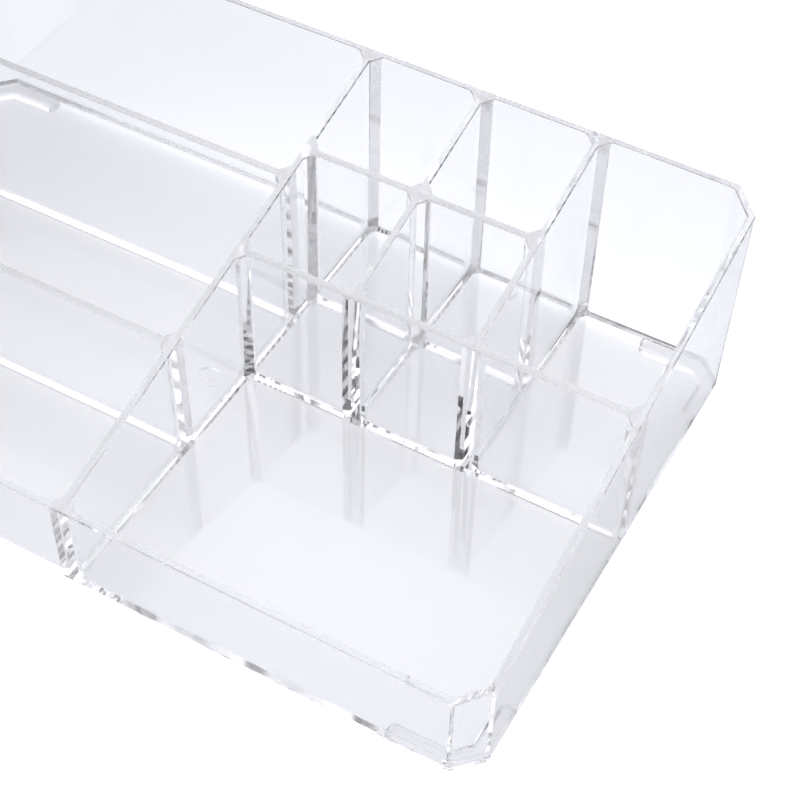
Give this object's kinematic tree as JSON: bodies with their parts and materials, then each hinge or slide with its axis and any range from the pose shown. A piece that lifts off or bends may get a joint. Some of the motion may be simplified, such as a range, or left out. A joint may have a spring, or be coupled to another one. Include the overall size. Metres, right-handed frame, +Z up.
{
  "type": "vanity organizer",
  "caption": "Clear moulded vanity organizer with a sloping rim, long trays beside upright slots, cut corners and low feet.",
  "frame": {"origin": "middle of the organizer's plan, on the surface that its feet stand on", "axes": "+X to the right along its length, +Y from the low front wall to the tall back wall, +Z up"},
  "size_m": [0.243, 0.1452, 0.0652],
  "materials": {
    "clear_polystyrene": "clear, mould polished"
  },
  "bodies": {
    "root": {"back_left_corner": "clear_polystyrene", "back_left_foot": "clear_polystyrene", "back_right_corner": "clear_polystyrene", "back_right_foot": "clear_polystyrene", "back_wall": "clear_polystyrene", "floor_plate": "clear_polystyrene", "front_left_corner": "clear_polystyrene", "front_left_foot": "clear_polystyrene", "front_right_corner": "clear_polystyrene", "front_right_foot": "clear_polystyrene", "front_slot_wall": "clear_polystyrene", "front_tray_wall": "clear_polystyrene", "front_wall": "clear_polystyrene", "left_slot_divider": "clear_polystyrene", "left_wall": "clear_polystyrene", "main_divider": "clear_polystyrene", "rear_slot_wall": "clear_polystyrene", "rear_tray_wall": "clear_polystyrene", "right_slot_divider": "clear_polystyrene", "right_wall": "clear_polystyrene"}
  },
  "joints": []
}
